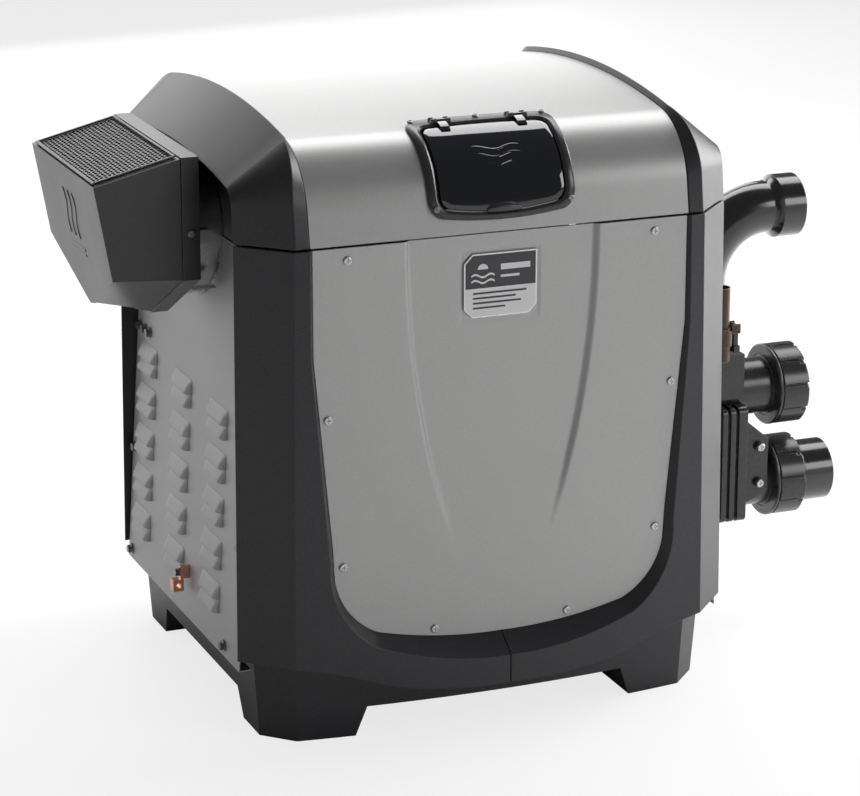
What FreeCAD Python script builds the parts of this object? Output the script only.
import FreeCAD, Part
import math
import os
from FreeCAD import Vector as V

# Gas-fired pool and spa heater, millimetres.
# X runs to the water side (right), Y to the back, Z up. The front faces -Y.
# The origin is on the floor, midway between the four feet.

# ---- driving dimensions ---------------------------------------------------
SEAM_Z = 541.0            # joint between the upper trims and the lower frames
POST_Z = 94.0             # lower end of the corner posts
HALF_W = 277.5            # half width over the corner posts, at the seam
SIDE_Y = 201.5            # where the side face of a post ends and its chamfer starts
CORNER_X = 229.7          # where the chamfer meets the front face
FACE_Y = 251.2            # front and back faces at that corner
BOW = 22.0                # how far the front face bows out at its middle
FLARE_X = 4.5             # the posts spread by this much towards the floor
FLARE_Y = 3.5
WALL = 5.0                # moulded frame wall
POST_RETURN = 34.0        # how far a post turns in behind the side panel
SEAM_GAP = 0.5            # half of the visible gap at a seam

PANEL_Y = -250.0          # outer face of the front panel at its edge
PANEL_T = 2.5
FIELD_HALF_W = 98.0       # the panel's recessed middle, at its top
FIELD_DEPTH = 5.0
BEVEL_DEPTH = 30.0        # the frame's bevel around the front panel: run in depth
BEVEL_SPREAD = 21.0       # and how much wider it gets over that depth

LID_HALF_W = 211.5
LID_T = 2.5
RIDGE_X = 228.0           # crest of a top trim
TRIM_DROP = 49.5          # the trim falls this far from its crest to its side edge

BASE_HALF_W = 254.6       # base tray at the floor
BASE_SIDE_Y = 192.7
BASE_CORNER_X = 223.6
BASE_FACE_Y = 224.4
BASE_BOW = 16.5
BASE_TOP_Z = 92.0
BASE_SPREAD = 6.5         # the tray grows by this much up to its rim
BASE_WALL = 5.0
FOOT_X = 160.0            # inner ends of the feet at the floor
FOOT_Y = 140.0
FOOT_RAKE = 12.0
SKIRT_Z = 33.0            # lower edge of the skirt between the feet

SHEET = 1.2               # side and back sheet metal
SIDE_TOP_X = 248.0        # side panels at the seam
SIDE_LEAN = 31.0          # and how far they lean out down to their lower edge
SIDE_LOW_Z = 78.0
SIDE_EDGE_Y = 200.8
LOUVER_Y = (152.0, 27.0, -98.0)
LOUVER_TOP_Z = 342.0
LOUVER_PITCH = 48.0
LOUVER_ROWS = 5
LOUVER_W = 60.0
LOUVER_H = 15.5           # one of the two slats of a louver
LOUVER_OUT = 7.0

DUCT_R = 80.0
DUCT_Z = 524.0
HOOD_WALL_X = -286.0
HOOD_JOINT_X = -305.0     # seam between the hood and its collar
HOOD_TOP_X = -398.0
HOOD_TOP_Z = 615.0
HOOD_OUT_Z = 592.0        # upper edge of the raked outer face
HOOD_RAKE = 0.175
HOOD_HALF_Y = 119.0

CTRL_HALF_W = 82.0        # control bezel, on the lid's front corner
PIPE_X = 352.0            # riser of the sweep elbow
INLET_Z = 261.0
OUTLET_Z = 149.0
NUT_R = 48.0
SOCKET_R = 36.3           # outside of a pipe socket
PIPE_R = 30.2             # a 2 inch pipe's own radius, with its clearance
CREST_X = 215.5           # the trims' crest is drawn in to here over the crown
VENT_DROP = 36.0          # upper edge of the vent sheet below the crest's line
RISER_BLOCK_Y = 38.0      # half depth of the header's block under the riser
RISER_BLOCK_Z = 312.0     # and its top
SOCKET_START_X = 440.0    # the elbow's pipe socket
SOCKET_DEPTH = 29.0
FOOT_RING_R = 35.3        # ring at the elbow's foot
FOOT_RING_L = 26.0
RELIEF_X = 343.0          # pressure relief valve
RELIEF_Y = -72.0
RELIEF_BRANCH_Z = 330.0
RELIEF_LOW_Z = 319.0
RELIEF_NECK_Z = 337.0
RELIEF_TOP_Z = 355.0
LEVER_X = 361.0           # pin of its test lever
LEVER_Z = 357.0
LUG_X = 282.0             # copper bonding lug
LUG_Y = -20.0
LUG_Z = 131.0
LUG_HOLE_Z = 116.5
CTRL_TILT = 43.5                       # slope of the chord across the control area
CTRL_CENTRE = V(0, -207.0, 602.0)      # middle of that chord
CTRL_HALF_H = 58.0
CTRL_UP = V(0, -math.sin(math.radians(CTRL_TILT)), math.cos(math.radians(CTRL_TILT)))
CTRL_BACK = V(0, math.cos(math.radians(CTRL_TILT)), math.sin(math.radians(CTRL_TILT)))
WINDOW_HALF_W = 70.0
WINDOW_BACK = 47.0
WINDOW_FRONT = -49.0
HINGE_ALONG = 49.5
HINGE_LIFT_OFF = 7.6      # hinge axis above the lid's skin
KEYPAD_LIFT = -6.0
BUTTONS = {"button_pool": (-48.0, -22.0), "button_spa": (-24.0, -22.0), "button_menu": (0.0, -22.0),
           "button_down": (24.0, -22.0), "button_up": (48.0, -22.0)}
BUTTON_W = 15.0
BUTTON_H = 9.0
HEADER_X = 262.0          # outer face of the header's mounting flange
NUT_X = 438.0
NUT_L = 38.0
PORT_R = 33.0
BORE_R = 26.0
CHAMBER_X = 299.0         # bypass chamber between the two ports
CHAMBER_R = 17.0
SCREW_Z = (153.0, 197.0)
SWEEP_R = 80.0
ELBOW_Z = 475.0
SOCKET_END_X = 470.5
SWEEP_TUBE_R = 30.0
CHAMBER = (-155.0, 155.0, -120.0, 130.0, 180.0, 400.0)
TUBES = [(y, z) for z in (INLET_Z, 215.0) for y in range(-84, 85, 28)]
FAN = V(95.0, 40.0, 470.0)
GAS = V(180.0, -150.0, 330.0)

os.makedirs("parts", exist_ok=True)


# ---- helpers --------------------------------------------------------------
def save(node, shape):
    shape.exportStep("parts/" + node + ".step")


def group(shapes):
    return Part.makeCompound(list(shapes))


def block(x0, x1, y0, y1, z0, z1):
    return Part.makeBox(x1 - x0, y1 - y0, z1 - z0, V(x0, y0, z0))


def rod(start, end, radius):
    run = end - start
    return Part.makeCylinder(radius, run.Length, start, run)


def tube(start, end, outer, inner):
    return rod(start, end, outer).cut(rod(start, end, inner))


def line(a, b):
    return Part.LineSegment(a, b).toShape()


def arc(a, m, b):
    return Part.Arc(a, m, b).toShape()


def polygon(points):
    return Part.makePolygon(list(points) + [points[0]])


def prism(wire, run):
    return Part.Face(wire).extrude(run)


def mirror_x(shape):
    return shape.mirror(V(0, 0, 0), V(1, 0, 0))


def mirror_y(shape):
    return shape.mirror(V(0, 0, 0), V(0, 1, 0))


def ruled(*wires):
    return Part.makeLoft(list(wires), True, True)


def fillet_where(shape, radius, test):
    edges = [e for e in shape.Edges if test(e)]
    return shape.makeFillet(radius, edges) if edges else shape


# ---- corner frames --------------------------------------------------------
def post_wall(z):
    """Section of one right front frame at a height: bowed face, chamfer and side return."""
    low = (SEAM_Z - z) / (SEAM_Z - POST_Z)
    side_x = HALF_W + FLARE_X * low
    side_y = SIDE_Y + FLARE_Y * low
    corner_x = CORNER_X + FLARE_X * low
    face_y = FACE_Y + FLARE_Y * low
    in_x = side_x - POST_RETURN

    def face(x, inset):
        return V(x, -(face_y + BOW * (1 - (x / corner_x) ** 2) - inset), z)

    inner_corner_x = corner_x - 2.4
    outer = [line(V(0, -face_y - BOW + WALL, z), V(0, -face_y - BOW, z)),
             arc(face(0, 0), face(corner_x / 2, 0), face(corner_x, 0)),
             line(face(corner_x, 0), V(side_x, -side_y, z)),
             line(V(side_x, -side_y, z), V(in_x, -side_y, z)),
             line(V(in_x, -side_y, z), V(in_x, -side_y - WALL, z)),
             line(V(in_x, -side_y - WALL, z), V(side_x - 11.8, -side_y - WALL, z)),
             line(V(side_x - 11.8, -side_y - WALL, z), face(inner_corner_x, WALL)),
             arc(face(inner_corner_x, WALL), face(corner_x / 2, WALL), face(0, WALL))]
    return Part.Wire(outer)


def post_fill(z):
    """The same outline filled back to the panel's plane."""
    low = (SEAM_Z - z) / (SEAM_Z - POST_Z)
    corner_x = CORNER_X + FLARE_X * low
    face_y = FACE_Y + FLARE_Y * low
    back = PANEL_Y + 8.0
    mid = V(corner_x / 2, -face_y - BOW * 0.75, z)
    return Part.Wire([line(V(0, back, z), V(0, -face_y - BOW, z)),
                      arc(V(0, -face_y - BOW, z), mid, V(corner_x, -face_y, z)),
                      line(V(corner_x, -face_y, z), V(corner_x, back, z)),
                      line(V(corner_x, back, z), V(0, back, z))])


def panel_outline(y, spread=0.0, top=SEAM_Z + 30.0):
    """Front panel outline, spread outwards; it is symmetric about X = 0."""
    top_w = 209.5 + spread
    low_w = 189.0 + spread
    hip = V(176.5 + spread * 0.9, y, 152.0 - spread * 0.4)
    turn = V(141.0 + spread * 0.55, y, 121.0 - spread * 0.8)
    flat = V(72.0 + spread * 0.1, y, 107.6 - spread)
    bottom = V(0, y, 103.8 - spread)

    def half(s):
        def m(p):
            return V(s * p.x, p.y, p.z)
        low = V(s * low_w, y, 205.0)
        waist = V(s * top_w, y, 425.0)
        return [line(V(s * top_w, y, top), waist), line(waist, low),
                arc(low, m(hip), m(turn)), arc(m(turn), m(flat), bottom)]

    edges = half(1) + half(-1) + [line(V(-top_w, y, top), V(top_w, y, top))]
    return Part.Wire(Part.__sortEdges__(edges))


def smile_cut():
    """Removes everything under the frame's curved lower edge."""
    y = -320.0
    def half(s):
        return [line(V(s * 320, y, 92), V(s * 228, y, 92)),
                arc(V(s * 228, y, 92), V(s * 190, y, 83.5), V(s * 140, y, 67)),
                arc(V(s * 140, y, 67), V(s * 75, y, 56), V(0, y, 53.5))]
    edges = half(1) + half(-1) + [line(V(-320, y, 92), V(-320, y, 0)),
                                  line(V(-320, y, 0), V(320, y, 0)),
                                  line(V(320, y, 0), V(320, y, 92))]
    return prism(Part.Wire(Part.__sortEdges__(edges)), V(0, 130, 0))


def front_frame_right():
    low, high = 50.0, SEAM_Z - SEAM_GAP
    wall = ruled(post_wall(low), post_wall(high))
    fill = ruled(post_fill(low), post_fill(high))
    cut = ruled(panel_outline(PANEL_Y, 0.4), panel_outline(PANEL_Y - BEVEL_DEPTH, BEVEL_SPREAD))
    jamb = ruled(panel_outline(PANEL_Y, 5.5), panel_outline(PANEL_Y - BEVEL_DEPTH, 5.5 + BEVEL_SPREAD))
    frame = wall.fuse(fill.common(jamb))
    opening = prism(panel_outline(PANEL_Y, 0.4), V(0, 30, 0))
    frame = frame.cut(cut).cut(opening)
    # ledge behind the panel's rim, where its screws go in
    ledge_out = prism(panel_outline(PANEL_Y + PANEL_T + 0.3, 5.5), V(0, 3.0, 0))
    ledge_in = prism(panel_outline(PANEL_Y, -19.0, SEAM_Z - 28.0), V(0, 20, 0))
    ledge = ledge_out.cut(ledge_in).common(block(0, 225, -260, -230, low, high))
    ledge = ledge.cut(block(-1, FIELD_HALF_W + 12, -260, -230, 400, SEAM_Z + 1))
    frame = frame.fuse(ledge)
    lip = ruled(panel_outline(PANEL_Y + 0.2, 5.5), panel_outline(PANEL_Y + 8, 5.5))
    lip = lip.cut(prism(panel_outline(PANEL_Y, 0.4), V(0, 30, 0)))
    frame = frame.fuse(lip.common(block(0, 225, -260, PANEL_Y + PANEL_T + 3, low, high)))
    frame = frame.cut(smile_cut()).removeSplitter()
    frame = frame.common(block(0.4, 300, -300, 0, low, high))
    for x, z in panel_screw_points():
        if x > 0:
            frame = frame.cut(rod(V(x, -260, z), V(x, -235, z), 2.2))
    return frame


def panel_screw_points():
    rows = ((172.0, 526.0), (194.5, 359.5), (179.0, 198.0), (76.5, 116.0))
    return [(s * x, z) for x, z in rows for s in (-1, 1)]


def rear_frame_right():
    low, high = POST_Z, SEAM_Z - SEAM_GAP
    wall = ruled(post_wall(low), post_wall(high))
    wall = wall.common(block(0.4, 300, -300, 0, low, high))
    opening = block(-1, 206, -300, -230, 132, SEAM_Z + 1)
    ledge = block(0.4, 222, -249.2, -246.2, low + 2, high)
    ledge = ledge.cut(block(-1, 192, -300, -200, 146, SEAM_Z + 1))
    bridge = block(206, 211, -255, -246.2, 127, high)
    fill = ruled(post_fill(low), post_fill(high))
    sill = block(0.4, 211, -290, -246.2, 127, 132).common(fill)
    frame = wall.cut(opening).fuse([ledge, bridge, sill]).removeSplitter()
    for x, z in rear_screw_points():
        frame = frame.cut(rod(V(x, -300, z), V(x, -200, z), 2.6))
    return mirror_y(frame)


# ---- base tray ------------------------------------------------------------
def base_section(z, inset=0.0):
    grow = BASE_SPREAD * z / BASE_TOP_Z - inset
    w = BASE_HALF_W + grow
    sy = BASE_SIDE_Y + grow * 0.4
    cx = BASE_CORNER_X + grow * 0.4
    fy = BASE_FACE_Y + grow
    my = fy + BASE_BOW
    return Part.Wire([arc(V(-cx, -fy, z), V(0, -my, z), V(cx, -fy, z)),
                      line(V(cx, -fy, z), V(w, -sy, z)), line(V(w, -sy, z), V(w, sy, z)),
                      line(V(w, sy, z), V(cx, fy, z)),
                      arc(V(cx, fy, z), V(0, my, z), V(-cx, fy, z)),
                      line(V(-cx, fy, z), V(-w, sy, z)), line(V(-w, sy, z), V(-w, -sy, z)),
                      line(V(-w, -sy, z), V(-cx, -fy, z))])


def channel(half, rake, height, along_y, floor=-1.0):
    """Raked channel between the feet."""
    top = half - rake * (height / SKIRT_Z)
    foot = half + rake * (1.0 / SKIRT_Z)
    if along_y:
        pts = [V(-foot, -400, floor), V(foot, -400, floor), V(top, -400, height), V(-top, -400, height)]
        return prism(polygon(pts), V(0, 800, 0))
    pts = [V(-400, -foot, floor), V(-400, foot, floor), V(-400, top, height), V(-400, -top, height)]
    return prism(polygon(pts), V(800, 0, 0))


def base_tray():
    body = ruled(base_section(0), base_section(BASE_TOP_Z))
    body = body.cut(channel(FOOT_X, FOOT_RAKE, SKIRT_Z, True))
    body = body.cut(channel(FOOT_Y, FOOT_RAKE, SKIRT_Z, False))
    hollow = ruled(base_section(BASE_WALL, BASE_WALL), base_section(BASE_TOP_Z + 1, BASE_WALL))
    floor = SKIRT_Z + BASE_WALL
    hollow = hollow.cut(channel(FOOT_X + BASE_WALL, FOOT_RAKE, floor, True))
    hollow = hollow.cut(channel(FOOT_Y + BASE_WALL, FOOT_RAKE, floor, False))
    body = body.cut(hollow)
    ribs = [block(x - 2, x + 2, -170, 170, floor - 0.5, floor + 14) for x in (-120, 0, 120)]
    ribs += [block(-200, 200, y - 2, y + 2, floor - 0.5, floor + 14) for y in (-110, 110)]
    return body.fuse(ribs).removeSplitter()


# ---- lid and top trims ----------------------------------------------------
def top_profile(x, front_y, crown_z, crown_r, corner_r, lean, inset=0.0, low=SEAM_Z + SEAM_GAP):
    """Closed side view of the top: leaning front, round corner, gentle crown, and back."""
    lean = math.radians(lean)
    centre_z = crown_z - crown_r
    reach = (front_y * math.cos(lean) + (SEAM_Z - centre_z) * math.sin(lean) - corner_r) / (crown_r - corner_r)
    phi = math.asin(reach) - lean
    cy = (crown_r - corner_r) * math.sin(phi)
    cz = centre_z + (crown_r - corner_r) * math.cos(phi)
    r = corner_r - inset
    ty, tz = cy + r * math.cos(lean), cz + r * math.sin(lean)
    fy = ty + (tz - low) * math.tan(lean)
    mid = (math.pi / 2 - phi + lean) / 2
    my, mz = cy + r * math.cos(mid), cz + r * math.sin(mid)
    ky, kz = cy + r * math.sin(phi), cz + r * math.cos(phi)
    top = V(x, 0, crown_z - inset)

    def p(s, y, z):
        return V(x, s * y, z)
    return Part.Wire([line(p(-1, fy, low), p(-1, ty, tz)), arc(p(-1, ty, tz), p(-1, my, mz), p(-1, ky, kz)),
                      arc(p(-1, ky, kz), top, p(1, ky, kz)),
                      arc(p(1, ky, kz), p(1, my, mz), p(1, ty, tz)), line(p(1, ty, tz), p(1, fy, low)),
                      line(p(1, fy, low), p(-1, fy, low))])


def lid_profile(x, inset=0.0, low=SEAM_Z + SEAM_GAP):
    return top_profile(x, 249.5, 655.0, 1090.0, 80.0, 10.0, inset, low)


def ridge_profile(x, inset=0.0, low=SEAM_Z + SEAM_GAP):
    return top_profile(x, FACE_Y, 661.0, 1100.0, 70.0, 8.0, inset, low)


def lid_slab(x_half, outer, inner, low=SEAM_Z + SEAM_GAP):
    """Band that follows the lid between two distances above its skin."""
    run = V(2 * x_half, 0, 0)
    solid = prism(lid_profile(-x_half, -outer, low), run)
    return solid.cut(prism(lid_profile(-x_half, -inner, low - 5), run))


def control_prism(half_w, back, front, radius):
    """Rounded rectangle seen square on to the control area, pushed through the lid."""
    pts = [V(-half_w, back, 0), V(half_w, back, 0), V(half_w, front, 0), V(-half_w, front, 0)]
    solid = prism(polygon(pts), V(0, 0, 160))
    solid = fillet_where(solid, radius, lambda e: abs(e.BoundBox.ZLength - 160) < 1e-3)
    solid.rotate(V(0, 0, 0), V(1, 0, 0), CTRL_TILT)
    solid.translate(CTRL_CENTRE - CTRL_UP * 80)
    return solid


def lid():
    run = V(2 * LID_HALF_W, 0, 0)
    shell = prism(lid_profile(-LID_HALF_W), run)
    shell = shell.cut(prism(lid_profile(-LID_HALF_W, LID_T, SEAM_Z - 5), run))
    shell = shell.cut(control_prism(CTRL_HALF_W - 6, CTRL_HALF_H - 5, -CTRL_HALF_H + 5, 10))
    for seat, out in bezel_screw_seats():
        shell = shell.cut(rod(seat - out * 20, seat, 1.9))
    return shell


def crest_profile(shift=0.0, inset=0.0, low=SEAM_Z + SEAM_GAP):
    """Crest of a trim: RIDGE_X at its front and back, drawn in to CREST_X over the crown."""
    flat = ridge_profile(0, inset, low)
    points = [v.Point for v in flat.OrderedVertexes]
    foot, bend, knee = points[:3]
    mid = flat.OrderedEdges[1].valueAt(sum(flat.OrderedEdges[1].ParameterRange) / 2)
    top = flat.OrderedEdges[2].valueAt(sum(flat.OrderedEdges[2].ParameterRange) / 2)
    outer, halfway, inner = (RIDGE_X - shift, (RIDGE_X + CREST_X) / 2 + 1.5 - shift, CREST_X - shift)

    def p(x, point, side):
        return V(x, side * point.y, point.z)
    front, back = [(p(outer, foot, s), p(outer, bend, s), p(halfway, mid, s), p(inner, knee, s)) for s in (1, -1)]
    crown = arc(front[3], V(inner, 0, top.z), back[3])
    return Part.Wire([line(front[0], front[1]), arc(*front[1:]), crown,
                      arc(back[3], back[2], back[1]), line(back[1], back[0]), line(back[0], front[0])])


def trim_right():
    outer = ruled(lid_profile(LID_HALF_W + 0.6, -1.0), crest_profile(), ridge_profile(HALF_W, TRIM_DROP))
    low = SEAM_Z - 5
    under = ruled(lid_profile(LID_HALF_W - 1, WALL, low), crest_profile(2.1, WALL, low),
                  ridge_profile(HALF_W + 1, TRIM_DROP + WALL, low))
    return outer.cut(under).removeSplitter()


# ---- panels ---------------------------------------------------------------
def crease_wire(y, grow):
    """The recessed field of the front panel: wide at the top, drawn in at the bottom."""
    def half(s):
        top = V(s * (FIELD_HALF_W + grow), y, SEAM_Z + 20)
        a = V(s * (94 + grow), y, 400)
        b = V(s * (84 + grow), y, 300)
        c = V(s * (66 + grow), y, 245)
        d = V(s * (46 + grow), y, 196)
        curve = Part.BSplineCurve()
        curve.interpolate([top, a, b, c, d])
        return curve.toShape(), d, top
    right, rd, rt = half(1)
    left, ld, lt = half(-1)
    return Part.Wire(Part.__sortEdges__([right, line(rd, ld), left, line(lt, rt)]))


def field_reach(y_floor):
    """Everything in front of the field's floor, which rises to the panel's face at its foot."""
    pts = [V(-220, -300, 90), V(-220, -300, SEAM_Z - SEAM_GAP), V(-220, y_floor, SEAM_Z - SEAM_GAP),
           V(-220, y_floor, 350), V(-220, y_floor - FIELD_DEPTH, 192), V(-220, y_floor - FIELD_DEPTH - 2, 90)]
    return prism(polygon(pts), V(440, 0, 0))


def front_panel():
    top = SEAM_Z - SEAM_GAP
    plate = prism(panel_outline(PANEL_Y, 0.0, top), V(0, PANEL_T, 0))
    field = ruled(crease_wire(PANEL_Y - 0.01, 8.0), crease_wire(PANEL_Y + FIELD_DEPTH + 1, 0.0))
    back = ruled(crease_wire(PANEL_Y - 0.01, 8.0), crease_wire(PANEL_Y + FIELD_DEPTH + 1, 0.0))
    back.translate(V(0, PANEL_T, 0))
    back = back.common(field_reach(PANEL_Y + FIELD_DEPTH + PANEL_T))
    field = field.common(field_reach(PANEL_Y + FIELD_DEPTH))
    plate = plate.fuse(back).cut(field).removeSplitter()
    for x, z in panel_screw_points():
        plate = plate.cut(rod(V(x, -260, z), V(x, -240, z), 2.6))
    return plate


def side_x(z):
    return SIDE_TOP_X + SIDE_LEAN * (SEAM_Z - z) / (SEAM_Z - SIDE_LOW_Z)


def leaning_sheet(z0, z1, y_half, inset=0.0, thick=SHEET):
    pts = [V(-side_x(z0) + inset, -y_half, z0), V(-side_x(z1) + inset, -y_half, z1),
           V(-side_x(z1) + inset + thick, -y_half, z1), V(-side_x(z0) + inset + thick, -y_half, z0)]
    return prism(polygon(pts), V(0, 2 * y_half, 0))


def slat(y, z_top, inset=0.0):
    """One pressed slat: flush above, standing out below."""
    z_low = z_top - LOUVER_H + inset
    z_high = z_top - inset
    half = LOUVER_W / 2 - inset
    out = LOUVER_OUT - inset
    pts = [V(-side_x(z_high) + 0.3, y - half, z_high), V(-side_x(z_low) - out, y - half, z_low + 2.0),
           V(-side_x(z_low) - out, y - half, z_low - 4 * inset),
           V(-side_x(z_low) + 3.0, y - half, z_low - 4 * inset),
           V(-side_x(z_high) + 3.0, y - half, z_high)]
    return prism(polygon(pts), V(0, 2 * half, 0))


def side_screw_points():
    """Flange screws of the left side: on the louvred sheet, then on the vent sheet."""
    return [(189.0, 89.0), (189.0, 212.0), (189.0, 356.0), (171.0, 356.0), (154.0, 356.0),
            (189.0, 480.0),
            (-150.0, 90.0), (-188.0, 211.0), (-188.0, 400.0), (-160.0, 565.0), (160.0, 565.0)]


def side_panel_left():
    sheet = leaning_sheet(SIDE_LOW_Z, SEAM_Z - 20.5, SIDE_EDGE_Y)
    flange = block(-side_x(SIDE_LOW_Z) + 0.2, -side_x(SIDE_LOW_Z) + 14, -SIDE_EDGE_Y, SIDE_EDGE_Y,
                   SIDE_LOW_Z, SIDE_LOW_Z + SHEET)
    sheet = sheet.fuse(flange)
    outs, ins = [], []
    for y in LOUVER_Y:
        for row in range(LOUVER_ROWS):
            for half in range(2):
                z = LOUVER_TOP_Z - row * LOUVER_PITCH - half * LOUVER_H
                outs.append(slat(y, z))
                ins.append(slat(y, z, 1.0))
    sheet = sheet.fuse(outs).cut(Part.makeCompound(ins))
    sheet = sheet.cut(rod(V(-320, 0, DUCT_Z), V(-200, 0, DUCT_Z), DUCT_R + 3))
    for y, z in side_screw_points() + [(LUG_Y, LUG_Z)]:
        sheet = sheet.cut(rod(V(-300, y, z), V(-220, y, z), 2.6))
    return sheet


def vent_panel_left():
    face = prism(ridge_profile(-SIDE_TOP_X - 0.2, VENT_DROP), V(SHEET, 0, 0))
    face = face.common(block(-300, -200, -SIDE_EDGE_Y, SIDE_EDGE_Y, SEAM_Z + SEAM_GAP, 700))
    lower = block(-SIDE_TOP_X - 0.2, -SIDE_TOP_X - 0.2 + SHEET, -SIDE_EDGE_Y, SIDE_EDGE_Y,
                  SEAM_Z - 19.5, SEAM_Z + SEAM_GAP)
    face = face.fuse(lower).removeSplitter()
    face = face.cut(rod(V(-320, 0, DUCT_Z), V(-200, 0, DUCT_Z), DUCT_R + 3))
    for y, z in side_screw_points():
        face = face.cut(rod(V(-300, y, z), V(-220, y, z), 2.6))
    return face


def side_panel_right():
    sheet = mirror_x(leaning_sheet(SIDE_LOW_Z, SEAM_Z, SIDE_EDGE_Y))
    upper = prism(ridge_profile(SIDE_TOP_X - SHEET, VENT_DROP, SEAM_Z - 0.1), V(SHEET, 0, 0))
    upper = upper.common(block(200, 300, -SIDE_EDGE_Y, SIDE_EDGE_Y, SEAM_Z - 0.1, 700))
    sheet = sheet.fuse(upper).removeSplitter()
    sheet = sheet.cut(block(200, 300, -66, 66, 92, 332))
    sheet = sheet.cut(rod(V(200, 130, 190), V(300, 130, 190), 22))
    for y, z in right_screw_points():
        sheet = sheet.cut(rod(V(200, y, z), V(300, y, z), 2.6))
    return sheet.cut(rod(V(200, 140, 440), V(300, 140, 440), 11.2))


def rear_panel():
    top = SEAM_Z - 1.0
    sheet = block(-205, 205, 249.5, 249.5 + SHEET, 133, top)
    slots = [block(x - 35, x + 35, 240, 260, z, z + 4)
             for x in (-110, 0, 110) for z in range(200, 440, 24)]
    sheet = sheet.cut(Part.makeCompound(slots))
    for x, z in rear_screw_points():
        sheet = sheet.cut(rod(V(x, 200, z), V(x, 300, z), 2.6))
    return sheet.cut(rod(V(150, 200, 180), V(150, 300, 180), 14))


# ---- fasteners ------------------------------------------------------------
def pan_screw(pos, out, head_r=4.2, head_h=2.4, shank_r=2.0, length=9.0):
    """Cross-recessed screw; out points away from the work."""
    head = Part.makeCylinder(head_r, head_h, pos, out)
    head = head.makeFillet(head_h * 0.6, [e for e in head.Edges if e.Closed and
                                          (e.CenterOfMass - pos).dot(out) > head_h * 0.9])
    shank = Part.makeCylinder(shank_r, length, pos - out * length, out)
    cross = []
    side = out.cross(V(0, 0, 1)) if abs(out.z) < 0.9 else out.cross(V(0, 1, 0))
    side.normalize()
    up = out.cross(side)
    for a, b in ((side, up), (up, side)):
        o = pos + out * (head_h * 0.35) - a * (head_r * 0.6) - b * 0.5
        slot = Part.makePolygon([o, o + a * (head_r * 1.2), o + a * (head_r * 1.2) + b, o + b, o])
        cross.append(Part.Face(slot).extrude(out * head_h))
    return head.fuse(shank).cut(cross[0]).cut(cross[1])


def hex_screw(pos, out, across=8.0, flange_r=6.2):
    """Hex-head flange screw for sheet metal."""
    flange = Part.makeCylinder(flange_r, 1.2, pos, out)
    side = out.cross(V(0, 0, 1))
    side.normalize()
    up = out.cross(side)
    r = across / math.sqrt(3)
    corners = [pos + out * 1.2 + side * (r * math.cos(math.radians(60 * k)))
               + up * (r * math.sin(math.radians(60 * k))) for k in range(6)]
    head = Part.Face(polygon(corners)).extrude(out * 4.0)
    shank = Part.makeCylinder(2.2, 12, pos - out * 12, out)
    return flange.fuse([head, shank]).removeSplitter()


# ---- vent hood ------------------------------------------------------------
def hood_section(x, top_z, corner_z, apex_z, half):
    pts = [V(x, -half, top_z), V(x, half, top_z), V(x, half, corner_z), V(x, 0, apex_z),
           V(x, -half, corner_z)]
    return polygon(pts)


def hood_ends(inset=0.0):
    """The hood's two five-sided ends: upright at the wall, raked at the outer face."""
    half = HOOD_HALF_Y - inset
    wall = hood_section(HOOD_JOINT_X, HOOD_TOP_Z - inset, 487.0 + inset * 0.5, 424.0 + inset, half)

    def raked(y, z):
        return V(HOOD_TOP_X + inset + HOOD_RAKE * (HOOD_OUT_Z - z), y, z)
    top, corner, apex = HOOD_OUT_Z - inset, 492.0 + inset * 0.5, 440.0 + inset
    outer = polygon([raked(-half, top), raked(half, top), raked(half, corner), raked(0, apex),
                     raked(-half, corner)])
    return wall, outer


def hood_shell():
    solid = ruled(*hood_ends())
    hollow = ruled(*hood_ends(1.5))
    section = hood_section(HOOD_JOINT_X - 4, HOOD_TOP_Z - 2.0, 488.0, 426.0, HOOD_HALF_Y - 1.5)
    mouth = prism(section, V(10, 0, 0))
    shell = solid.cut(hollow).cut(mouth)
    shell = shell.cut(block(-384, -320, -100, 100, 580, 625))
    return shell.cut(block(-366, -322, -4, 4, 415, 450))


def hood_collar():
    a, b = HOOD_JOINT_X + 0.2, HOOD_WALL_X
    outer = prism(hood_section(a, 616.5, 486.4, 422.3, HOOD_HALF_Y + 1.6), V(b - a, 0, 0))
    inner = prism(hood_section(a - 1, 614.9, 487.0, 424.1, HOOD_HALF_Y + 0.1), V(b - a, 0, 0))
    collar = outer.cut(inner)
    for x, y, z in hood_screw_points():
        collar = collar.cut(rod(V(x, 0.9 * y, z), V(x, 1.1 * y, z), 2.1))
    return collar.cut(rod(V(-320, 0, DUCT_Z), V(-240, 0, DUCT_Z), DUCT_R + 0.6))


def hood_grille():
    """Slotted plate let into the hood's sloping top."""
    slope = math.degrees(math.atan2(HOOD_TOP_Z - HOOD_OUT_Z, HOOD_JOINT_X - HOOD_TOP_X))
    plate = block(-43, 43, -108, 108, 0.4, 2.0)
    slots = [block(-36 + 9 * i, -30.5 + 9 * i, -100 + 13.5 * j, -90 + 13.5 * j, -1, 4)
             for i in range(8) for j in range(15)]
    plate = plate.cut(Part.makeCompound(slots))
    plate.rotate(V(0, 0, 0), V(0, 1, 0), -slope)
    plate.translate(V((HOOD_TOP_X + HOOD_JOINT_X) / 2, 0, (HOOD_TOP_Z + HOOD_OUT_Z) / 2))
    return plate


def exhaust_duct():
    out = V(HOOD_WALL_X - 12, 0, DUCT_Z)
    turn = V(-70, 0, DUCT_Z)
    down = V(-70, 0, 402)
    outer = rod(out, turn, DUCT_R).fuse([rod(turn, down, DUCT_R), Part.makeSphere(DUCT_R, turn)])
    r = DUCT_R - 1.5
    inner = rod(out - V(1, 0, 0), turn, r).fuse([rod(turn, down - V(0, 0, 1), r), Part.makeSphere(r, turn)])
    return outer.cut(inner)


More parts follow.
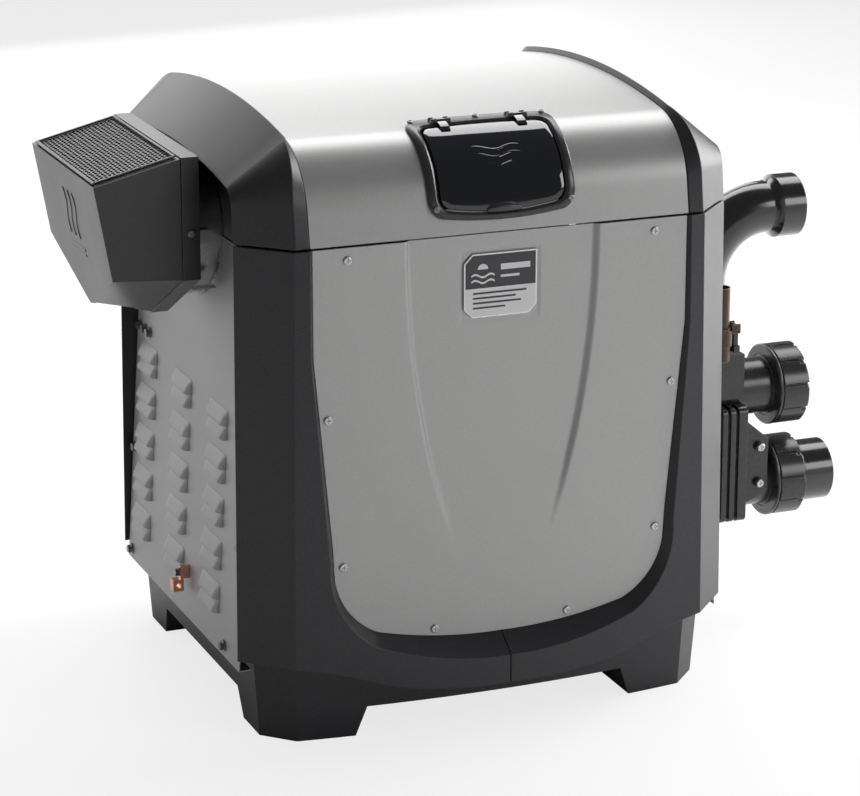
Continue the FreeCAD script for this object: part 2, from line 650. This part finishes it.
def duct_clamps():
    ring = tube(V(-266, 0, DUCT_Z), V(-276, 0, DUCT_Z), DUCT_R + 1.6, DUCT_R + 0.1)
    tabs = [block(-276, -266, s * (DUCT_R + 1.0), s * (DUCT_R + 1.0) + s * 9, DUCT_Z - 7, DUCT_Z + 7)
            if s > 0 else block(-276, -266, -(DUCT_R + 10), -(DUCT_R + 1), DUCT_Z - 7, DUCT_Z + 7)
            for s in (-1, 1)]
    feet = [block(-285.8, -258.5, s * 80 - 6, s * 80 + 6, 466, 467.5) for s in (-1, 1)]
    return group([ring.fuse(tabs)] + feet)


# ---- control area ---------------------------------------------------------
def on_control(x, along, lift):
    """Point on the control chord: along it towards the back, lifted off it."""
    return CTRL_CENTRE + V(x, 0, 0) + CTRL_BACK * along + CTRL_UP * lift


def tilted(shape):
    """Moves a shape drawn flat about the origin onto the control chord."""
    shape.rotate(V(0, 0, 0), V(1, 0, 0), CTRL_TILT)
    shape.translate(CTRL_CENTRE)
    return shape


def control_bezel():
    band = lid_slab(CTRL_HALF_W + 4, 5.0, 0.3)
    ring = band.common(control_prism(CTRL_HALF_W, CTRL_HALF_H, -CTRL_HALF_H, 14))
    skirt = lid_slab(CTRL_HALF_W + 4, 1.0, -9.0)
    skirt = skirt.common(control_prism(WINDOW_HALF_W + 3.2, WINDOW_BACK + 3.2, WINDOW_FRONT - 3.0, 13))
    bezel = ring.fuse(skirt)
    bezel = bezel.cut(control_prism(WINDOW_HALF_W + 0.6, WINDOW_BACK + 0.6, WINDOW_FRONT - 0.6, 11))
    lip = block(-22, 22, -CTRL_HALF_H - 4, -CTRL_HALF_H + 8, -40, 40)
    lip = fillet_where(lip, 5, lambda e: abs(e.BoundBox.ZLength - 80) < 1e-3)
    lip = tilted(lip).common(lid_slab(40, 6.5, 0.3))
    bezel = bezel.fuse(lip).cut(Part.makeCompound([tilted(block(s * 43 - 12, s * 43 + 12, 44, 57, 2, 60))
                                                   for s in (-1, 1)]))
    for seat, out in bezel_screw_seats():
        bezel = bezel.cut(rod(seat - out * 20, seat + out * 4, 1.9))
    return bezel.removeSplitter()


def bezel_screw_seats():
    """Where each bezel screw sits on the bezel's skin, and the skin's normal there."""
    seats = []
    for x, along in ((0.0, 53.5), (-74.0, 51.0), (74.0, 51.0), (-75.0, -50.0), (75.0, -50.0)):
        slope = (lid_lift(x, along + 1) - lid_lift(x, along - 1)) / 2
        out = CTRL_UP - CTRL_BACK * slope
        out.normalize()
        seats.append((on_control(x, along, lid_lift(x, along)) + out * 5.2, out))
    return seats


def lid_lift(x, along):
    """Height of the lid's skin above the control chord."""
    probe = rod(on_control(x, along, -60), on_control(x, along, 90), 0.2)
    hit = probe.common(prism(lid_profile(-200), V(400, 0, 0)))
    tops = [(v.Point - on_control(x, along, 0)).dot(CTRL_UP) for v in hit.Vertexes]
    return max(tops)


def hinge_axis():
    return on_control(0, HINGE_ALONG, lid_lift(0, HINGE_ALONG) + HINGE_LIFT_OFF)


def window_door():
    skin = lid_slab(WINDOW_HALF_W + 5, 4.6, 1.6)
    skin = skin.common(control_prism(WINDOW_HALF_W, WINDOW_BACK - 3.0, WINDOW_FRONT, 10))
    rim = lid_slab(WINDOW_HALF_W + 5, 1.7, -2.0)
    rim = rim.common(control_prism(WINDOW_HALF_W - 2, WINDOW_BACK - 5, WINDOW_FRONT + 2, 9))
    rim = rim.cut(control_prism(WINDOW_HALF_W - 5, WINDOW_BACK - 8, WINDOW_FRONT + 5, 7))
    door = skin.fuse(rim)
    axis = hinge_axis()
    for s in (-1, 1):
        knuckle = rod(axis + V(s * 43 - 5, 0, 0), axis + V(s * 43 + 5, 0, 0), 2.9)
        arm = tilted(block(s * 43 - 5, s * 43 + 5, 36, HINGE_ALONG, -2.0, 0.6))
        arm.translate(CTRL_UP * (lid_lift(0, 42) + 5.5))
        door = door.fuse([knuckle, arm])
    hole = rod(axis - V(60, 0, 0), axis + V(60, 0, 0), 1.55)
    return door.cut(hole).removeSplitter()


def hinge_clips():
    axis = hinge_axis()
    clips = []
    for s in (-1, 1):
        for side in (-1, 1):
            x = s * 43 + side * 8.3
            ear = rod(axis + V(x - 2.4, 0, 0), axis + V(x + 2.4, 0, 0), 3.2)
            foot = tilted(block(x - 2.4, x + 2.4, 46.3, 56.4, -12, 0.5))
            foot.translate(CTRL_UP * (lid_lift(0, HINGE_ALONG) + HINGE_LIFT_OFF - 2.5))
            clip = ear.fuse(foot).cut(lid_slab(90, 0.4, -40.0, SEAM_Z - 40))
            clips.append(clip.cut(rod(axis - V(60, 0, 0), axis + V(60, 0, 0), 1.5)))
    return clips


def hinge_pins():
    axis = hinge_axis()
    return [rod(axis + V(s * 43 - 10.7, 0, 0), axis + V(s * 43 + 10.7, 0, 0), 1.5) for s in (-1, 1)]


def keypad_plate():
    plate = block(-66, 66, -44, 42, KEYPAD_LIFT, KEYPAD_LIFT + 3)
    plate = plate.cut(block(-39, 39, -4, 26, KEYPAD_LIFT - 1, KEYPAD_LIFT + 4))
    for x, y in BUTTONS.values():
        plate = plate.cut(block(x - BUTTON_W / 2 - 0.4, x + BUTTON_W / 2 + 0.4, y - BUTTON_H / 2 - 0.4,
                                y + BUTTON_H / 2 + 0.4, KEYPAD_LIFT - 1, KEYPAD_LIFT + 4))
    walls = block(-67.5, 67.5, -45.5, 43.5, KEYPAD_LIFT - 16, KEYPAD_LIFT)
    walls = walls.cut(block(-66, 66, -44, 42, KEYPAD_LIFT - 17, KEYPAD_LIFT + 0.5))
    rim = block(-67.5, 67.5, -45.5, 43.5, KEYPAD_LIFT, KEYPAD_LIFT + 3)
    rim = rim.cut(block(-66, 66, -44, 42, KEYPAD_LIFT - 1, KEYPAD_LIFT + 4))
    return tilted(plate.fuse([walls, rim]).removeSplitter())


def button(x, y):
    cap = block(x - BUTTON_W / 2, x + BUTTON_W / 2, y - BUTTON_H / 2, y + BUTTON_H / 2,
                KEYPAD_LIFT - 1.5, KEYPAD_LIFT + 4.2)
    cap = cap.makeFillet(0.8, [e for e in cap.Edges if e.BoundBox.ZMin > KEYPAD_LIFT + 4])
    flange = block(x - BUTTON_W / 2 - 1.2, x + BUTTON_W / 2 + 1.2, y - BUTTON_H / 2 - 1.2,
                   y + BUTTON_H / 2 + 1.2, KEYPAD_LIFT - 2.4, KEYPAD_LIFT - 0.3)
    return tilted(cap.fuse(flange).removeSplitter())


def display_window():
    return tilted(block(-38.6, 38.6, -3.6, 25.6, KEYPAD_LIFT - 2.0, KEYPAD_LIFT + 2.6))


def control_board():
    board = block(-62, 62, -41, 39, KEYPAD_LIFT - 12.5, KEYPAD_LIFT - 11)
    chips = [block(-50, -20, 5, 30, KEYPAD_LIFT - 11, KEYPAD_LIFT - 5), block(-5, 15, 8, 28, KEYPAD_LIFT - 11,
             KEYPAD_LIFT - 7), block(30, 50, 0, 12, KEYPAD_LIFT - 11, KEYPAD_LIFT - 4)]
    return tilted(board.fuse(chips))


# ---- water side -----------------------------------------------------------


def water_header():
    """Moulded inlet and outlet header with a bypass chamber between the two ports."""
    flange = block(252.5, HEADER_X, -60, 60, 98, 326)
    flange = flange.makeFillet(8, [e for e in flange.Edges if abs(e.BoundBox.XLength - 9.5) < 1e-3])
    solids = []
    for z in (INLET_Z, OUTLET_Z):
        solids.append(rod(V(HEADER_X - 1, 0, z), V(NUT_X + 6, 0, z), PORT_R))
        solids.append(rod(V(NUT_X + 1, 0, z), V(NUT_X + 9, 0, z), 40.0))
        solids.append(rod(V(NUT_X - 2, 0, z), V(NUT_X + 1, 0, z), PORT_R + 1.5))
    solids.append(block(315, 394, -RISER_BLOCK_Y, RISER_BLOCK_Y, INLET_Z - 2, RISER_BLOCK_Z))
    solids.append(block(HEADER_X - 1, 328, -40, 40, OUTLET_Z, INLET_Z))
    chest = block(236.3, 253, -58, 58, 104, 322).cut(block(240, 248, -52, 52, 110, 316))
    body = flange.fuse(solids + [chest])
    bores = [rod(V(245, 0, z), V(NUT_X + 12, 0, z), BORE_R) for z in (INLET_Z, OUTLET_Z)]
    bores.append(rod(V(CHAMBER_X, 0, OUTLET_Z), V(CHAMBER_X, 0, INLET_Z), CHAMBER_R))
    bores.append(rod(V(PIPE_X, 0, INLET_Z), V(PIPE_X, 0, INLET_Z + 60), 24.0))
    for y, z in header_bolt_points():
        bores.append(rod(V(240, y, z), V(270, y, z), 2.6))
    for bore in bores:
        body = body.cut(bore)
    return body.removeSplitter()


def bypass_cover():
    """Ribbed valve box that straddles the outlet port."""
    box_ = block(330, 394, -47, 47, 116, 248)
    box_ = box_.makeFillet(6, [e for e in box_.Edges if abs(e.BoundBox.XLength - 64) < 1e-3])
    ribs = []
    for x0, x1 in ((362, 368), (372.5, 378.5), (383, 394)):
        rib = block(x0, x1, -51, 51, 112.5, 251.5)
        along = [e for e in rib.Edges if abs(e.BoundBox.XLength - (x1 - x0)) < 1e-3]
        ribs.append(rib.makeFillet(8, along))
    fin = polygon([V(393, -34, 126), V(430, -34, 140), V(430, -34, 205), V(393, -34, 236)])
    web = prism(fin, V(0, 7, 0))
    eyes = [rod(V(418, -38, z), V(418, -27, z), 6.0) for z in SCREW_Z]
    cover = box_.fuse(ribs + [web] + eyes)
    cover = cover.cut(rod(V(320, 0, OUTLET_Z), V(440, 0, OUTLET_Z), PORT_R + 0.3))
    cover = cover.cut(rod(V(320, 0, INLET_Z), V(440, 0, INLET_Z), PORT_R + 0.3))
    cover = cover.cut(block(310, 396, -RISER_BLOCK_Y - 1, RISER_BLOCK_Y + 1, INLET_Z - 3, 330))
    cover = cover.cut(block(334, 383, -42, 42, 187, 228))
    for z in SCREW_Z:
        cover = cover.cut(rod(V(418, -60, z), V(418, 0, z), 2.2))
    return cover.removeSplitter()


def header_screws():
    screws = [pan_screw(V(418, -38.2, z), V(0, -1, 0), 5.0, 3.0, 2.0, 4.0) for z in SCREW_Z]
    screws += [hex_screw(V(HEADER_X + 0.1, y, z), V(1, 0, 0), 10, 7.0) for y, z in header_bolt_points()]
    return group(screws)


def header_bolt_points():
    return [(s * 50.0, z) for s in (-1, 1) for z in (109.0, 315.0)]


def union_nut(z):
    """Ribbed hand nut; its shoulder traps the tailpiece against the port's collar."""
    a = V(NUT_X, 0, z)
    body = rod(a, a + V(NUT_L, 0, 0), NUT_R - 3.0)
    body = body.makeFillet(3.0, [e for e in body.Edges if e.Closed])
    lands = []
    for k in range(6):
        land = block(4, NUT_L - 5, -11.5, 11.5, NUT_R - 6, NUT_R)
        land.translate(V(NUT_X, 0, 0))
        land = land.common(rod(V(NUT_X, 0, 0), V(NUT_X + NUT_L, 0, 0), NUT_R))
        land.rotate(V(0, 0, 0), V(1, 0, 0), 60 * k + 12)
        land.translate(V(0, 0, z))
        lands.append(land)
    nut = body.fuse(lands)
    nut = nut.cut(rod(a - V(1, 0, 0), a + V(NUT_L - 5, 0, 0), 40.4))
    nut = nut.cut(rod(a, a + V(NUT_L + 1, 0, 0), SOCKET_R + 0.4))
    return nut.removeSplitter()


def tailpiece(z, reach):
    """Socket for a glued pipe, with the flange that the union nut pulls up."""
    start = V(NUT_X + 13.5, 0, z)
    flange = rod(start, start + V(19, 0, 0), 39.9)
    barrel = rod(start, V(reach, 0, z), SOCKET_R)
    barrel = barrel.makeChamfer(1.0, [e for e in barrel.Edges if e.Closed and e.BoundBox.XMin > reach - 1])
    piece = flange.fuse(barrel).cut(rod(start - V(1, 0, 0), V(reach + 1, 0, z), BORE_R))
    depth = 38 if reach > 500 else 22
    return piece.cut(rod(V(reach - depth, 0, z), V(reach + 1, 0, z), PIPE_R))


def union_o_ring(z):
    ring = Part.makeTorus(35.0, 2.2, V(NUT_X + 11.2, 0, z), V(1, 0, 0))
    return ring


def sweep_elbow():
    """Long-radius bend from the riser on the header to a pipe socket facing right."""
    knee = V(PIPE_X + SWEEP_R, 0, ELBOW_Z - SWEEP_R)
    low = V(PIPE_X, 0, 315.5)
    outer, inner = [], []
    for r, parts_ in ((SWEEP_TUBE_R, outer), (BORE_R - 2, inner)):
        ring = Part.makeTorus(SWEEP_R, r, knee, V(0, 1, 0))
        quarter = block(knee.x - 120, knee.x, -60, 60, knee.z, knee.z + 120)
        parts_.append(ring.common(quarter))
        parts_.append(rod(low, V(PIPE_X, 0, knee.z), r))
    spigot = rod(low - V(0, 0, 3.5), low, 23.9)
    cone = Part.makeCone(SWEEP_TUBE_R, SOCKET_R, 8, V(SOCKET_START_X - 8, 0, ELBOW_Z), V(1, 0, 0))
    socket = rod(V(SOCKET_START_X, 0, ELBOW_Z), V(SOCKET_END_X, 0, ELBOW_Z), SOCKET_R)
    neck = rod(V(knee.x, 0, ELBOW_Z), V(SOCKET_START_X + 1, 0, ELBOW_Z), SWEEP_TUBE_R)
    rim = [e for e in socket.Edges if e.Closed and e.BoundBox.XMin > SOCKET_START_X + 5]
    socket = socket.makeFillet(1.5, rim)
    foot = rod(low, low + V(0, 0, FOOT_RING_L), FOOT_RING_R)
    body = outer[0].fuse([outer[1], spigot, neck, cone, socket, foot])
    run = rod(V(PIPE_X, 0, 300), V(PIPE_X, 0, knee.z), BORE_R - 4)
    body = body.cut(inner[0]).cut(run).cut(inner[1].common(block(300, 450, -60, 60, 330, 420)))
    throat = rod(V(knee.x, 0, ELBOW_Z), V(SOCKET_END_X - SOCKET_DEPTH + 1, 0, ELBOW_Z), BORE_R - 2)
    mouth = rod(V(SOCKET_END_X - SOCKET_DEPTH, 0, ELBOW_Z), V(SOCKET_END_X + 1, 0, ELBOW_Z), PIPE_R)
    return body.cut(throat).cut(mouth).removeSplitter()


def relief_valve_body():
    """Pressure relief valve on a short branch from the elbow's foot."""
    x, y = RELIEF_X, RELIEF_Y
    branch = rod(V(x, 0, RELIEF_BRANCH_Z), V(x, y, RELIEF_BRANCH_Z), 9.5)
    branch = branch.cut(rod(V(PIPE_X, 0, 300), V(PIPE_X, 0, 360), FOOT_RING_R + 0.3))
    branch = branch.cut(block(200, 450, 0, 60, 300, 360))
    neck = rod(V(x, y, RELIEF_LOW_Z), V(x, y, RELIEF_NECK_Z + 1), 12.5)
    bonnet = rod(V(x, y, RELIEF_NECK_Z), V(x, y, RELIEF_TOP_Z), 14.5)
    ears = [block(x + 11.5, LEVER_X + 4, y + s - 1.6, y + s + 1.6, LEVER_Z - 6, LEVER_Z + 4.5)
            for s in (-7.5, 7.5)]
    waist = rod(V(x, y, RELIEF_TOP_Z - 1), V(x, y, RELIEF_TOP_Z + 3), 12.5)
    valve = neck.fuse([branch, bonnet, waist] + ears)
    return valve.cut(rod(V(LEVER_X, -100, LEVER_Z), V(LEVER_X, -40, LEVER_Z), 1.65)).removeSplitter()


def relief_lever():
    """Test lever; it lifts about a pin at the side of the bonnet."""
    y = RELIEF_Y
    hub = rod(V(LEVER_X, y - 5, LEVER_Z), V(LEVER_X, y + 5, LEVER_Z), 4.0)
    arm = block(LEVER_X - 2.0, LEVER_X + 3.5, y - 4.5, y + 4.5, LEVER_Z - 24, LEVER_Z)
    grip = block(LEVER_X - 2.0, LEVER_X + 5.0, y - 6.5, y + 6.5, LEVER_Z - 30, LEVER_Z - 21)
    grip = grip.makeFillet(1.5, [e for e in grip.Edges if abs(e.BoundBox.YLength - 13) < 1e-3])
    pin = rod(V(LEVER_X, y - 9.4, LEVER_Z), V(LEVER_X, y + 9.4, LEVER_Z), 1.6)
    return hub.fuse([arm, grip, pin]).removeSplitter()


def relief_tube():
    """Discharge tube in the top of the valve."""
    return tube(V(RELIEF_X, RELIEF_Y, RELIEF_TOP_Z + 3.2), V(RELIEF_X, RELIEF_Y, 405), 11.0, 9.4)


def bypass_poppet():
    head = rod(V(CHAMBER_X, 0, 196), V(CHAMBER_X, 0, 202), CHAMBER_R - 0.4)
    stem = rod(V(CHAMBER_X, 0, 202), V(CHAMBER_X, 0, 226), 4.0)
    return head.fuse(stem)


def coil(radius, wire, z0, z1, turns, x, y):
    helix = Part.makeHelix((z1 - z0 - 2 * wire) / turns, z1 - z0 - 2 * wire, radius)
    start = Part.Wire(Part.makeCircle(wire, V(radius, 0, 0), V(0, 1, 0)))
    spring = helix.makePipeShell([start], True, False)
    spring.translate(V(x, y, z0 + wire))
    return spring


# ---- inside ---------------------------------------------------------------


def combustion_chamber():
    x0, x1, y0, y1, z0, z1 = CHAMBER
    shell = block(x0, x1, y0, y1, z0, z1).cut(block(x0 + 2, x1 - 2, y0 + 2, y1 - 2, z0 + 2, z1 - 2))
    for y, z in TUBES:
        shell = shell.cut(rod(V(-200, y, z), V(200, y, z), 11.4))
    shell = shell.cut(rod(V(-70, 0, 380), V(-70, 0, 420), DUCT_R - 2))
    legs = [block(x - 8, x + 8, y - 8, y + 8, 52.3, z0) for x in (-135, 135) for y in (-100, 110)]
    shell = shell.cut(rod(V(FAN.x, FAN.y, 380), V(FAN.x, FAN.y, 420), 24))
    return shell.fuse(legs).cut(block(x0 - 60, x0 + 1, -20, 20, 300, 340))


def heat_exchanger():
    """Finned copper tubes that cross the combustion chamber."""
    tubes = []
    for y, z in TUBES:
        core = tube(V(-172, y, z), V(236, y, z), 11.0, 9.6)
        fins = [tube(V(x, y, z), V(x + 1.2, y, z), 13.6, 11.0) for x in range(-140, 141, 20)]
        tubes.append(core.fuse(fins))
    return group(tubes)


def return_header():
    body = block(-200, -172.2, -100, 100, 196, 282)
    body = body.makeFillet(10, [e for e in body.Edges if abs(e.BoundBox.XLength - 27.8) < 1e-3])
    return body.cut(block(-192, -176, -95, 95, 203, 275))


def burner():
    drum = tube(V(FAN.x - 130, FAN.y, 330), V(FAN.x + 40, FAN.y, 330), 26, 24)
    caps = rod(V(FAN.x - 132, FAN.y, 330), V(FAN.x - 130, FAN.y, 330), 26)
    neck = tube(V(FAN.x, FAN.y, 350), V(FAN.x, FAN.y, 418), 20, 18)
    end = rod(V(FAN.x + 40, FAN.y, 330), V(FAN.x + 42, FAN.y, 330), 26)
    return drum.fuse([caps, neck, end])


def blower_housing():
    low = FAN - V(0, 0, 26)
    top = FAN + V(0, 0, 26)
    shell = rod(low, top, 72).cut(rod(low + V(0, 0, 3), top - V(0, 0, 3), 69))
    throat = tube(V(FAN.x, FAN.y, 418.3), V(FAN.x, FAN.y, FAN.z - 25), 23, 20.4)
    shell = shell.cut(rod(low - V(0, 0, 1), low + V(0, 0, 4), 20.4))
    shell = shell.cut(rod(top - V(0, 0, 4), top + V(0, 0, 1), 7.0))
    intake = [rod(FAN + V(48 * math.cos(a), 48 * math.sin(a), 20), FAN + V(48 * math.cos(a), 48 * math.sin(a), 30), 12)
              for a in [math.radians(60 * k) for k in range(6)]]
    return shell.cut(Part.makeCompound(intake)).fuse(throat)


def blower_wheel():
    back = rod(FAN + V(0, 0, 12), FAN + V(0, 0, 14), 60)
    hub = rod(FAN + V(0, 0, -4), FAN + V(0, 0, 30), 6)
    blades = []
    for k in range(16):
        blade = block(38, 59, -1, 1, -18, 13)
        blade.rotate(V(48, 0, 0), V(0, 0, 1), 32)
        blade.rotate(V(0, 0, 0), V(0, 0, 1), 22.5 * k)
        blade.translate(FAN)
        blades.append(blade)
    rim = tube(FAN + V(0, 0, -20), FAN + V(0, 0, -18), 60, 40)
    return back.fuse([hub, rim] + blades)


def blower_motor():
    can = rod(FAN + V(0, 0, 31), FAN + V(0, 0, 88), 38)
    can = can.makeFillet(5, [e for e in can.Edges if e.Closed and e.BoundBox.ZMin > FAN.z + 80])
    bore = rod(FAN + V(0, 0, 26), FAN + V(0, 0, 60), 6.06)
    feet = [rod(FAN + V(30 * math.cos(a), 30 * math.sin(a), 26.2), FAN + V(30 * math.cos(a), 30 * math.sin(a), 32), 3.5)
            for a in [math.radians(30 + 60 * k) for k in range(6)]]
    return can.fuse(feet).cut(bore)


def gas_valve():
    body = block(GAS.x - 32, GAS.x + 32, GAS.y - 25, GAS.y + 25, GAS.z - 30, GAS.z + 30)
    body = body.makeFillet(4, [e for e in body.Edges if abs(e.BoundBox.ZLength - 60) < 1e-3])
    spindle = rod(GAS + V(0, 0, 30), GAS + V(0, 0, 50), 5.0)
    coils = block(GAS.x - 26, GAS.x - 12, GAS.y - 14, GAS.y + 14, GAS.z + 29, GAS.z + 46)
    return body.fuse([spindle, coils]).removeSplitter()


def gas_knob():
    knob = rod(GAS + V(0, 0, 33), GAS + V(0, 0, 49.5), 12)
    grip = block(GAS.x - 11, GAS.x + 11, GAS.y - 2.5, GAS.y + 2.5, GAS.z + 49, GAS.z + 55)
    knob = knob.fuse(grip)
    return knob.cut(rod(GAS + V(0, 0, 30), GAS + V(0, 0, 50.4), 5.06))


def gas_pipe():
    """Supply pipe from the side wall to the valve, with its threaded end outside."""
    inlet = tube(V(180, 130, 190), V(306, 130, 190), 13.35, 10.5)
    inlet = inlet.cut(tube(V(291, 130, 190), V(294, 130, 190), 15.0, 12.7))
    drop = tube(V(180, 130, 190), V(180, 130, 330), 13.35, 10.5)
    run = tube(V(180, 130, 330), V(180, GAS.y + 25.3, 330), 13.35, 10.5)
    knees = [Part.makeSphere(17, V(180, 130, z)) for z in (190, 330)]
    pipe = inlet.fuse([drop, run] + knees)
    for a, b in ((V(180, 130, 190), V(307, 130, 190)), (V(180, 130, 190), V(180, 130, 330)),
                 (V(180, 130, 330), V(180, GAS.y + 20, 330))):
        pipe = pipe.cut(rod(a, b, 10.5))
    return pipe


# ---- small parts of the cabinet -------------------------------------------
def badge():
    """Plate with three clipped corners on the front panel, with a plain wave emblem."""
    x0, x1, z0, z1 = -43.0, 39.0, 450.5, 518.5
    y = PANEL_Y + FIELD_DEPTH - 0.3
    pts = [V(x0 + 9, y, z1), V(x1, y, z1), V(x1, y, z0 + 10), V(x1 - 10, y, z0), V(x0 + 10, y, z0),
           V(x0, y, z0 + 10), V(x0, y, z1 - 9)]
    return prism(polygon(pts), V(0, -1.2, 0))


def front_panel_screws():
    return group([pan_screw(V(x, PANEL_Y - 0.1, z), V(0, -1, 0), 4.6, 2.2, 1.9, 7.0)
                  for x, z in panel_screw_points()])


def rear_screw_points():
    return [(s * 198.0, z) for s in (-1, 1) for z in (170.0, 340.0, 510.0)]


def right_screw_points():
    return [(s * 189.0, z) for s in (-1, 1) for z in (90.0, 300.0, 500.0)]


def side_screws():
    screws = []
    for y, z in side_screw_points():
        skin = SIDE_TOP_X + 0.2 if z > SEAM_Z else side_x(z)
        screws.append(hex_screw(V(-skin - 0.5, y, z), V(-1, 0, 0)))
    screws.append(hex_screw(V(-LUG_X - 4.2, LUG_Y, LUG_Z), V(-1, 0, 0), 7.0, 5.0))
    screws += [hex_screw(V(x, 251.0, z), V(0, 1, 0)) for x, z in rear_screw_points()]
    screws += [hex_screw(V(side_x(z) + 0.5, y, z), V(1, 0, 0)) for y, z in right_screw_points()]
    return group(screws)


def bonding_lug():
    """Copper lug: a tab on the side panel and a block with a cross hole for the bonding wire."""
    back = -LUG_X - 4
    skin = side_x(LUG_Z) + 0.4
    hole = V(-LUG_X - 7, LUG_Y, LUG_HOLE_Z)
    tab = block(back, -skin, LUG_Y - 4, LUG_Y + 4, LUG_Z - 7, LUG_Z + 6.5)
    stem = block(back, back + 2.8, LUG_Y - 4, LUG_Y + 4, LUG_HOLE_Z, LUG_Z)
    body = block(hole.x - 6, hole.x + 6, LUG_Y - 5.5, LUG_Y + 5.5, LUG_HOLE_Z - 6.5, LUG_HOLE_Z + 6.5)
    lug = tab.fuse([stem, body]).cut(rod(hole - V(0, 20, 0), hole + V(0, 20, 0), 3.2))
    lug = lug.cut(leaning_sheet(60, 200, 60, 0.0, 12.0))
    return lug.cut(rod(V(-LUG_X - 30, LUG_Y, LUG_Z), V(-200, LUG_Y, LUG_Z), 2.5)).removeSplitter()


def hood_screws():
    return group([pan_screw(V(x, y, z), V(0, math.copysign(1, y), 0), 4.2, 2.2, 1.8, 1.5)
                  for x, y, z in hood_screw_points()])


def hood_screw_points():
    return [(HOOD_WALL_X - 9.5, s * (HOOD_HALF_Y + 1.75), z) for s in (-1, 1) for z in (536.0,)]


def bezel_screws():
    return group([pan_screw(seat, out, 3.4, 1.8, 1.5, 9.0) for seat, out in bezel_screw_seats()])


# ---- write every node -----------------------------------------------------
NODES = {
    "base_tray": base_tray, "front_frame_right": front_frame_right,
    "front_frame_left": lambda: mirror_x(front_frame_right()),
    "rear_frame_right": rear_frame_right, "rear_frame_left": lambda: mirror_x(rear_frame_right()),
    "top_trim_right": trim_right, "top_trim_left": lambda: mirror_x(trim_right()),
    "lid": lid, "front_panel": front_panel, "front_badge": badge,
    "front_panel_screws": front_panel_screws, "side_panel_left": side_panel_left,
    "vent_panel_left": vent_panel_left, "side_panel_right": side_panel_right,
    "rear_panel": rear_panel, "cabinet_screws": side_screws, "bonding_lug": bonding_lug,
    "hood_shell": hood_shell, "hood_collar": hood_collar, "hood_grille": hood_grille,
    "hood_screws": hood_screws, "exhaust_duct": exhaust_duct, "duct_clamps": duct_clamps,
    "control_bezel": control_bezel, "bezel_screws": bezel_screws, "window_door": window_door,
    "hinge_clips": lambda: group(hinge_clips()), "hinge_pins": lambda: group(hinge_pins()),
    "keypad_plate": keypad_plate, "display_window": display_window, "control_board": control_board,
    "water_header": water_header, "bypass_cover": bypass_cover, "header_screws": header_screws,
    "union_nut_upper": lambda: union_nut(INLET_Z), "union_nut_lower": lambda: union_nut(OUTLET_Z),
    "tailpiece_upper": lambda: tailpiece(INLET_Z, NUT_X + NUT_L - 1.0),
    "tailpiece_lower": lambda: tailpiece(OUTLET_Z, 518.0),
    "union_o_rings": lambda: group([union_o_ring(z) for z in (INLET_Z, OUTLET_Z)]),
    "sweep_elbow": sweep_elbow, "relief_valve_body": relief_valve_body,
    "relief_lever": relief_lever, "relief_tube": relief_tube,
    "bypass_poppet": bypass_poppet,
    "bypass_spring": lambda: coil(9.0, 1.2, 202.3, 232.0, 5, CHAMBER_X, 0),
    "combustion_chamber": combustion_chamber, "heat_exchanger": heat_exchanger,
    "return_header": return_header, "burner": burner,
    "blower_housing": blower_housing, "blower_wheel": blower_wheel, "blower_motor": blower_motor,
    "gas_valve": gas_valve, "gas_knob": gas_knob, "gas_pipe": gas_pipe,
}

for node, make in NODES.items():
    save(node, make())
for node, (bx, by) in BUTTONS.items():
    save(node, button(bx, by))
